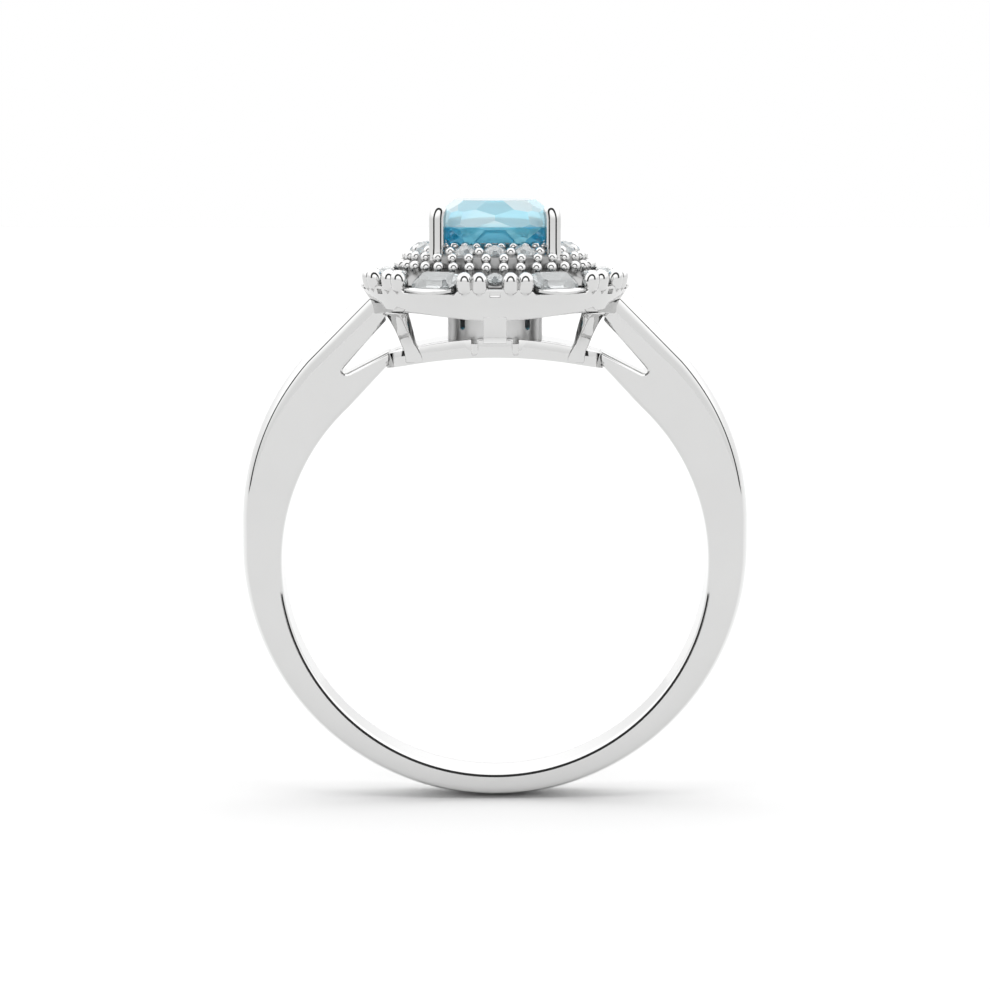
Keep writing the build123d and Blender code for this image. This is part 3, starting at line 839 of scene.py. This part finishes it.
claw = {
    "radius": 0.34,
    "base": 11.4,
    "atRadius": 5.15,
    "lean": 18,            # the ribs follow the wall inwards
    "petalOffset": 16.8,   # degrees from the middle of a petal
    "gapOffset": 6.7,      # degrees from the middle of a gap
    "sides": 20,
    # height and share of the radius, from the rib's foot to the crown of the ball
    "profile": ((-1.1, 0.4), (-0.6, 0.62), (-0.3, 0.72), (-0.2, 0.8), (-0.14, 0.94), (-0.06, 1.02),
                (0.06, 1.04), (0.2, 1.02), (0.34, 0.96), (0.46, 0.82), (0.55, 0.62), (0.61, 0.38),
                (0.63, 0.15)),
}


def turnedShape(name, profile, sides, centre=(0, 0)):
    # a round piece: one ring of vertices, extruded up through (height, radius)
    deselectAll()
    bpy.ops.mesh.primitive_circle_add(vertices=sides, radius=profile[0][1], fill_type="NGON",
                                      location=(centre[0], centre[1], profile[0][0]))
    piece = bpy.context.object
    piece.name = piece.data.name = name
    bpy.ops.object.transform_apply(location=True)
    bpy.ops.object.mode_set(mode="EDIT")
    bpy.ops.mesh.select_all(action="SELECT")
    for (z0, r0), (z1, r1) in zip(profile, profile[1:]):
        bpy.ops.mesh.extrude_region_move(TRANSFORM_OT_translate={"value": (0, 0, z1 - z0)})
        bpy.ops.transform.resize(value=(r1 / r0, r1 / r0, 1), center_override=(centre[0], centre[1], z1))
    bpy.ops.mesh.select_all(action="SELECT")
    bpy.ops.mesh.normals_make_consistent(inside=False)
    deselectAll()
    return piece


def placeMany(shape, name, places, nodes):
    # places: angle, radius, height and tilt of each copy
    copies = [copyOf(shape) for place in places]
    for copy, place in zip(copies, places):
        placeRound(copy, *place)
    piece = joinCopies(copies, copies[0])
    piece.name = piece.data.name = name
    applyPlace(piece)
    return finishPiece(piece, metal, nodes, smooth=70, even=False)


def makeClaws():
    profile = [(z, share * claw["radius"]) for z, share in claw["profile"]]
    shape = turnedShape("claw", profile, claw["sides"])
    for name, offset, start in (("petal_claws", claw["petalOffset"], petalTurn / 2),
                                ("gap_claws", claw["gapOffset"], 0)):
        places = [(petalTurn * k + start + side * offset, claw["atRadius"], claw["base"], claw["lean"])
                  for k in range(petals) for side in (-1, 1)]
        placeMany(shape, name + "_finished", places, [name])
    bpy.data.objects.remove(shape)
    print("claws drawn")


# prongs

prong = {
    "at": 2.3,            # from the middle, along X and along Y
    "radius": 0.33,
    "foot": 12.35,
    "footWide": 1.15,     # the foot's size as a share of the wire's
    "footHigh": 0.5,
    "bendAt": 13.95,
    "bendRadius": 0.7,
    "bendTurn": 28,
    "tipSteps": 5,
    "tipTurn": 17,        # degrees of the rounded tip in each step
    "sides": 24,
}


def makeProngs():
    neck = prong["foot"] + prong["footHigh"]
    deselectAll()
    bpy.ops.mesh.primitive_circle_add(vertices=prong["sides"], radius=prong["radius"] * prong["footWide"],
                                      fill_type="NGON", location=(0, 0, prong["foot"]))
    shape = bpy.context.object
    bpy.ops.object.transform_apply(location=True)
    bpy.ops.object.mode_set(mode="EDIT")
    bpy.ops.mesh.select_all(action="SELECT")
    bpy.ops.mesh.extrude_region_move(TRANSFORM_OT_translate={"value": (0, 0, prong["footHigh"])})
    bpy.ops.transform.resize(value=(1 / prong["footWide"],) * 3, center_override=(0, 0, neck))
    bpy.ops.mesh.extrude_region_move(TRANSFORM_OT_translate={"value": (0, 0, prong["bendAt"] - neck)})
    bpy.ops.mesh.spin(steps=6, angle=radians(prong["bendTurn"]), axis=(0, -1, 0),
                      center=(prong["bendRadius"], 0, prong["bendAt"]))
    turn = radians(prong["bendTurn"])
    along = Vector((sin(turn), 0, cos(turn)))
    bendEnd = (prong["bendRadius"] * (1 - cos(turn)), prong["bendAt"] + prong["bendRadius"] * sin(turn))
    middle = Vector((bendEnd[0], 0, bendEnd[1]))
    for step in range(1, prong["tipSteps"] + 1):    # rounds the tip
        here, last = radians(prong["tipTurn"] * step), radians(prong["tipTurn"] * (step - 1))
        ahead = prong["radius"] * (sin(here) - sin(last))
        middle = middle + along * ahead
        bpy.ops.mesh.extrude_region_move(TRANSFORM_OT_translate={"value": along * ahead})
        bpy.ops.transform.resize(value=(cos(here) / cos(last),) * 3, center_override=middle)
    bpy.ops.mesh.select_all(action="SELECT")
    bpy.ops.mesh.remove_doubles(threshold=joinGap)
    bpy.ops.mesh.normals_make_consistent(inside=False)
    deselectAll()
    for name, turnTo, x, y in (("front_left", 45, -1, -1), ("back_left", -45, -1, 1),
                               ("front_right", 135, 1, -1), ("back_right", 225, 1, 1)):
        copy = copyOf(shape, "prong_" + name + "_finished")
        copy.location = (x * prong["at"], y * prong["at"], 0)
        copy.rotation_euler.z = radians(turnTo)
        applyPlace(copy)
        finishPiece(copy, metal, ["prong_" + name], smooth=60, even=False)
    bpy.data.objects.remove(shape)
    print("prongs drawn")


# beads of the halo

halo = {
    "outerFall": 28,
    "outerHigh": 11.4,       # outer tier's surface at its rim
    "outerRim": 4.86,
    "innerRim": 3.62,
    "innerStep": 0.42,
    "innerFall": 18,
    # node: radius of a bead, then count, radius, tilt and lift above the tier of each row
    "rows": {"inner_beads": (0.19, (32, 2.5, 20, 0.04)),
             "outer_beads": (0.21, (32, 3.58, 34, -0.03), (16, 3.2, 26, 0.08)),
             "foot_beads": (0.23, (36, 3.88, 32, 0.18))},
    # height and share of the radius up a bead
    "dome": ((-0.8, 1.0), (-0.4, 1.02), (-0.1, 1.03), (0.2, 1.0), (0.45, 0.9), (0.68, 0.73),
             (0.86, 0.5), (0.95, 0.25)),
    "beadSides": 14,
    # places of the small stones: radius, lift above the tier and tilt
    "stones": {"petal_stone": (4.64, 0.08, 31), "gap_stone": (4.42, 0.1, 28), "tier_stone": (3.14, 0.07, 34)},
    "tierPlaces": 16,        # one in four is left to a prong
}


def outerTop(radius):
    return halo["outerHigh"] + (halo["outerRim"] - radius) * tan(radians(halo["outerFall"]))


def innerTop(radius):
    rise = (halo["innerRim"] - radius) * tan(radians(halo["innerFall"]))
    return outerTop(halo["innerRim"]) + halo["innerStep"] + rise


def makeBeads():
    for name, (size, *rows) in halo["rows"].items():
        top = outerTop if name == "foot_beads" else innerTop
        dome = [(z * size, share * size) for z, share in halo["dome"]]
        shape = turnedShape("bead", dome, halo["beadSides"])
        places = [(360 / count * (k + 0.5), radius, top(radius) + lift, fall)
                  for count, radius, fall, lift in rows for k in range(count)]
        placeMany(shape, name + "_finished", places, [name])
        bpy.data.objects.remove(shape)
    print("beads drawn")


# stones

centreCut = {
    "half": 2.5, "power": 2.8, "sides": 16, "height": 13.66,
    "crown": 1.04, "pavilion": 2.1, "girdle": 0.04,
    "crownAngle": 60,
    "starAngle": 38,
    "starEase": 7,         # the star facets at the corners are this much flatter
    "crownBreak": 0.86,    # share of the outline where the star facets start
    "pavilionAngle": 52,
    "midShare": 0.8, "midEase": 6, "midHeight": 0.62,
    "keelShare": 0.5, "keelEase": 12,
}


def support(angle, halfX, halfY, power):
    # how far a cushion outline reaches square to a given direction
    q = power / (power - 1)
    return (abs(cos(angle) * halfX) ** q + abs(sin(angle) * halfY) ** q) ** (1 / q)


def cutStone(name, halfX, halfY, power, sides, top, depth, rings):
    # rings of facets: up or down, facet angle, share of the reach and height they pass, first side, step
    deselectAll()
    bpy.ops.mesh.primitive_cube_add(size=2, location=(0, 0, 0))
    stone = bpy.context.object
    stone.name = stone.data.name = name
    bpy.ops.object.mode_set(mode="EDIT")
    bpy.ops.transform.resize(value=(2 * halfX, 2 * halfY, top), center_override=(0, 0, 0))
    pick("verts", lambda v: v.co.z < 0)
    bpy.ops.transform.translate(value=(0, 0, top - depth))

    def facet(where, normal):
        bpy.ops.mesh.select_all(action="SELECT")
        bpy.ops.mesh.bisect(plane_co=where, plane_no=normal, use_fill=True, clear_outer=True,
                            threshold=1e-5)
    for k in range(sides):
        angle = 2 * pi * k / sides
        out = Vector((cos(angle), sin(angle), 0))
        facet(out * support(angle, halfX, halfY, power), out)
    for up, tilt, share, height, first, step in rings:
        for k in range(first, 2 * sides, step):
            angle = pi * k / sides
            out = Vector((cos(angle), sin(angle), 0))
            reach = support(angle, halfX, halfY, power)
            facet(out * (reach * share) + Vector((0, 0, up * height)),
                  out * sin(radians(tilt)) + Vector((0, 0, up * cos(radians(tilt)))))
    deselectAll()
    return stone


# each facet gets a value that paints it lighter or darker: painted facet reflections
def paintFacetSheen(stone):
    facetSheens = stone.data.attributes.new("facetPaintedSheen", "FLOAT", "FACE")
    for number, value in enumerate(facetSheens.data):
        value.value = (number * 0.618) % 1          # neighbours get painted facet reflections far apart in brightness


def placeStone(shape, name, place, material, nodes):
    copy = copyOf(shape, name)
    placeRound(copy, *place)
    applyPlace(copy)
    return finishPiece(copy, material, nodes, smooth=1, even=False)


smallCuts = {
    # half-length, half-width, power of the outline, sides, crown, pavilion
    "petal_stone": (1.02, 0.6, 3.6, 12, 0.26, 0.5),
    "gap_stone": (0.33, 0.33, 2, 8, 0.16, 0.3),
    "tier_stone": (0.42, 0.42, 2, 8, 0.2, 0.34),
}


smallFacets = {
    # facet angle next to the girdle and nearer the middle, and the share of the reach where they meet
    "girdle": 0.02,
    "crown": (44, 34, 0.84),
    "pavilion": (46, 40, 0.7),
}


def smallPlaces(kind):
    radius, lift, tilt = halo["stones"][kind]
    if kind == "tier_stone":
        count = halo["tierPlaces"]
        return [(360 / count * k, radius, innerTop(radius) + lift, tilt) for k in range(count) if k % 4 != 2]
    start = petalTurn / 2 if kind == "petal_stone" else 0
    return [(petalTurn * k + start, radius, outerTop(radius) + lift, tilt) for k in range(petals)]


def smallRings(halfY):
    rings = []
    for up, part in ((1, "crown"), (-1, "pavilion")):
        steep, flat, share = smallFacets[part]
        meet = smallFacets["girdle"] + (1 - share) * halfY * tan(radians(steep))
        rings += [(up, steep, 1, smallFacets["girdle"], 1, 2), (up, flat, share, meet, 0, 2)]
    return rings


def makeStones():
    cut = centreCut
    half, girdle = cut["half"], cut["girdle"]
    crown, star, pavilion = cut["crownAngle"], cut["starAngle"], cut["pavilionAngle"]
    breakHeight = girdle + (1 - cut["crownBreak"]) * half * tan(radians(crown))
    keelHeight = girdle + (1 - cut["keelShare"]) * half * tan(radians(pavilion))
    shape = cutStone("centreStone", half, half, cut["power"], cut["sides"], cut["crown"], cut["pavilion"], (
        (1, crown, 1, girdle, 1, 2),
        (1, star, cut["crownBreak"], breakHeight, 0, 4),
        (1, star - cut["starEase"], cut["crownBreak"], breakHeight, 2, 4),
        (-1, pavilion, 1, girdle, 1, 2),
        (-1, pavilion - cut["midEase"], cut["midShare"], cut["midHeight"], 0, 4),
        (-1, pavilion - cut["keelEase"], cut["keelShare"], keelHeight, 2, 4)))
    paintFacetSheen(shape)
    placeStone(shape, "centre_stone_finished", (0, 0, cut["height"], 0), blue,
               ["centre_stone"])
    bpy.data.objects.remove(shape)
    for kind, (halfX, halfY, power, sides, crown, depth) in smallCuts.items():
        shape = cutStone(kind, halfX, halfY, power, sides, crown, depth, smallRings(halfY))
        paintFacetSheen(shape)
        for number, place in enumerate(smallPlaces(kind), 1):
            name = f"{kind}_{number:02d}"
            placeStone(shape, name + "_finished", place, clear, [name])
        bpy.data.objects.remove(shape)
    print("stones cut")


setCamera()
setLight()
addFloor()
print("camera and light set")
tierEdge = 0.02
metal = whiteMetal("polishedWhiteMetal", 0.62, 0.66, 0.03, 0.08)
satinMetal = whiteMetal("satinWhiteMetal", 0.56, 0.64, 0.28, 0.4)
# the tiers' darker grey is painted shade that falls between the stones and beads
bedMetalPaintedShade = whiteMetal("paintedShadeWhiteMetal", 0.26, 0.42, 0.22, 0.4)
# the centre stone's paler crown colours are a painted highlight and its deeper blue pavilion colours are
# painted shade; each facet is painted lighter or darker as a painted reflection
blue = gemMaterial("skyBlueStone", ((0.06, 0.6, 0.98), (0.3, 0.86, 1.0)),
                   ((0.36, 0.78, 0.92), (0.85, 0.98, 1.0)), centreCut["height"] * mm, 0.48, 1.62)
# clear stones: each facet is painted lighter or darker as a painted reflection, paler above the level as a
# painted highlight
clear = gemMaterial("clearStone", ((0.5, 0.54, 0.56), (0.8, 0.84, 0.86)),
                    ((0.62, 0.67, 0.69), (0.98, 1, 1)), 0, 0.72, 2.1)
makeBand()
makeRail()
makePillars()
makeWall()
makeClaws()
makeProngs()
makeBeads()
makeStones()
makeCollet()
# the tiers get the metal with painted shade between the stones and beads
for name in ("outer_tier", "inner_tier"):
    softCopy(name, bedMetalPaintedShade, tierEdge * mm)
print("head finished")
